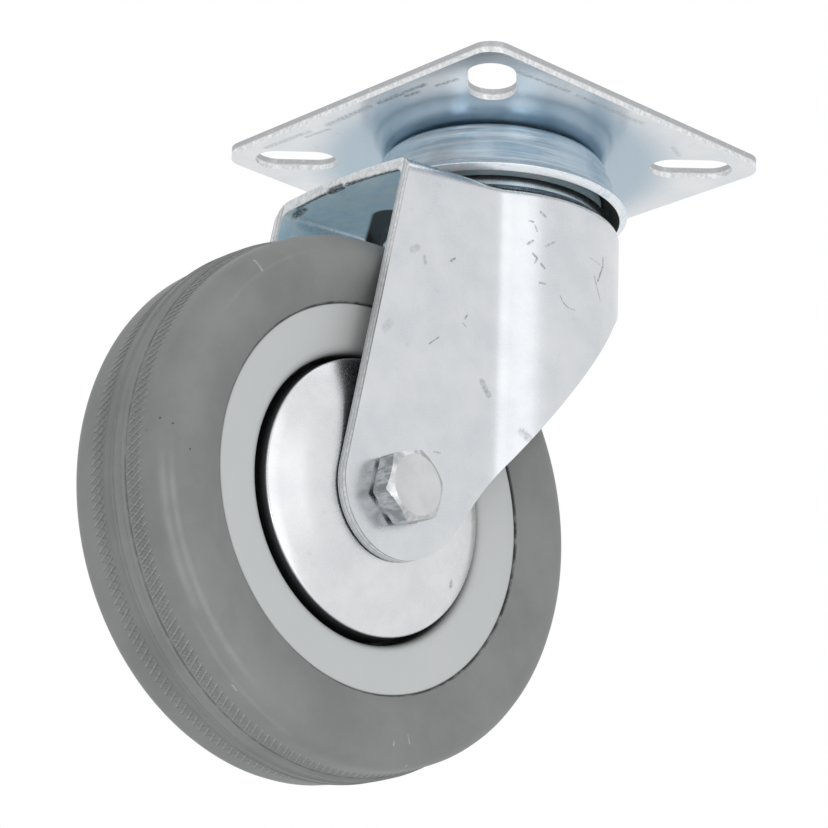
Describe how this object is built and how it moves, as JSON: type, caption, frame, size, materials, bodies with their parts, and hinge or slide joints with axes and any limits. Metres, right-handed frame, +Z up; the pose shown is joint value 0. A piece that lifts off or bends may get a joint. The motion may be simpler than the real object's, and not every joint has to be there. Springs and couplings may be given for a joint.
{
  "type": "swivel castor",
  "caption": "Swivel castor: square slotted top plate, double ball race, deep-drawn steel fork and a grey rubber-tyred wheel with thread guards.",
  "frame": {"origin": "centre of the plate's top face", "axes": "+Z up out of the plate's top face, the fork trails towards -Y, the axle lies along X with the bolt head on +X"},
  "size_m": [0.0612, 0.1022, 0.107],
  "materials": {
    "zinc_plate": "bright zinc plating, slightly brushed",
    "zinc_fork": "bright zinc plating with drawing marks",
    "zinc_guard": "bright zinc plating, satin",
    "bright_steel": "zinc plated",
    "ball_steel": "polished",
    "bush_plastic": "moulded",
    "grey_plastic": "moulded, light grey",
    "grey_rubber": "non-marking grey rubber"
  },
  "bodies": {
    "plate": {"top_plate": "zinc_plate", "race_cup": "zinc_plate", "king_pin": "bright_steel", "lower_race": "bright_steel"},
    "upper_balls": {"upper_ball_01": "ball_steel", "upper_ball_02": "ball_steel", "upper_ball_03": "ball_steel", "upper_ball_04": "ball_steel", "upper_ball_05": "ball_steel", "upper_ball_06": "ball_steel", "upper_ball_07": "ball_steel", "upper_ball_08": "ball_steel", "upper_ball_09": "ball_steel", "upper_ball_10": "ball_steel", "upper_ball_11": "ball_steel", "upper_ball_12": "ball_steel", "upper_ball_13": "ball_steel"},
    "lower_balls": {"lower_ball_01": "ball_steel", "lower_ball_02": "ball_steel", "lower_ball_03": "ball_steel", "lower_ball_04": "ball_steel", "lower_ball_05": "ball_steel", "lower_ball_06": "ball_steel", "lower_ball_07": "ball_steel", "lower_ball_08": "ball_steel", "lower_ball_09": "ball_steel", "lower_ball_10": "ball_steel"},
    "fork": {"fork": "zinc_fork", "dust_ring": "zinc_plate", "axle_bolt": "bright_steel", "axle_nut": "bright_steel", "axle_tube": "bright_steel", "thread_guard_left": "zinc_guard", "thread_guard_right": "zinc_guard"},
    "wheel": {"wheel_bush": "bush_plastic", "wheel_centre": "grey_plastic", "tyre": "grey_rubber"}
  },
  "joints": [
    {"name": "swivel", "type": "hinge", "parent": "plate", "child": "fork", "pos_m": [0, 0, 0], "axis": [0, 0, 1], "continuous": true},
    {"name": "wheel_spin", "type": "hinge", "parent": "fork", "child": "wheel", "pos_m": [0, -0.0314, -0.0668], "axis": [1, 0, 0], "continuous": true},
    {"name": "upper_ball_orbit", "type": "hinge", "parent": "plate", "child": "upper_balls", "pos_m": [0, 0, 0], "axis": [0, 0, 1], "continuous": true},
    {"name": "lower_ball_orbit", "type": "hinge", "parent": "plate", "child": "lower_balls", "pos_m": [0, 0, 0], "axis": [0, 0, 1], "continuous": true}
  ],
  "couplings": [
    {"joint": "upper_ball_orbit", "follows": "swivel", "ratio": 0.5},
    {"joint": "lower_ball_orbit", "follows": "swivel", "ratio": 0.5}
  ]
}
